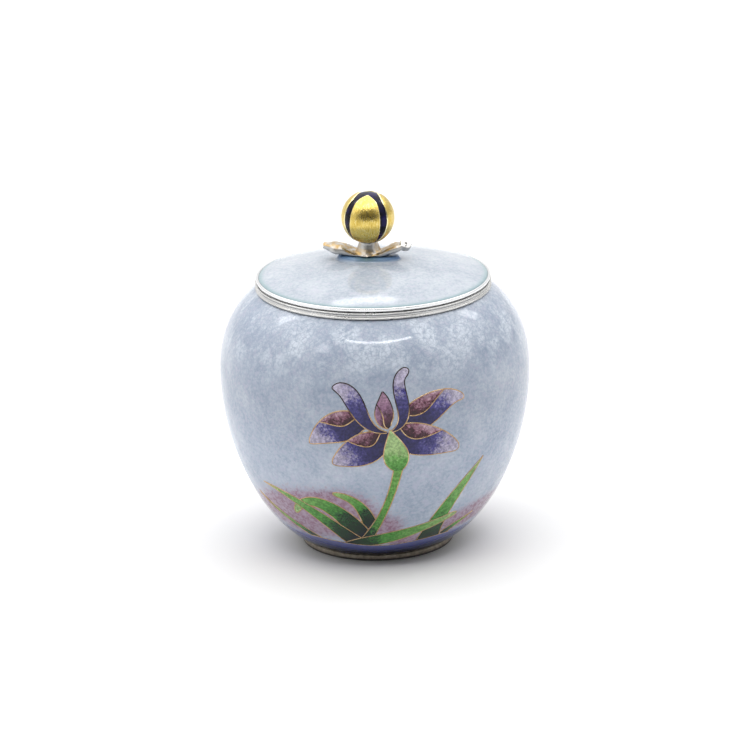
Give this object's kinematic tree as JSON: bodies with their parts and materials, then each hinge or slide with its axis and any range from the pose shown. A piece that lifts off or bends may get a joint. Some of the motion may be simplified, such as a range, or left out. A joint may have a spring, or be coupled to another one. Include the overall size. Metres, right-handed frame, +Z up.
{
  "type": "cloisonne enamel jar with lid",
  "caption": "Round enamelled metal jar with a silver mouth collar and a lift-off domed lid, topped by a silver branch and a gold and navy ball.",
  "frame": {"origin": "centre of the foot, on the surface the jar stands on", "axes": "+Z up, -Y towards the decorated front, +X to the front's right"},
  "size_m": [0.1, 0.1, 0.1157],
  "materials": {
    "body_enamel": "glossy mottled pale blue-grey glass enamel on copper, with a traditional inlaid flower",
    "lid_enamel": "glossy pale blue-grey glass enamel on copper, deeper towards its edge",
    "navy_enamel": "glossy dark navy glass enamel",
    "silver": "polished silver",
    "cast_silver": "polished cast silver, softly worked",
    "brushed_gold": "brushed gold plate with polished edges",
    "bare_bronze": "dull brown bare metal"
  },
  "bodies": {
    "root": {"jar_body": "body_enamel", "foot_ring": "bare_bronze", "mouth_collar": "silver", "lid_rim": "silver", "lid_dome": "lid_enamel", "finial_branch": "cast_silver", "finial_ball": "navy_enamel", "gold_panel_1": "brushed_gold", "gold_panel_2": "brushed_gold", "gold_panel_3": "brushed_gold", "gold_panel_4": "brushed_gold"}
  },
  "joints": []
}
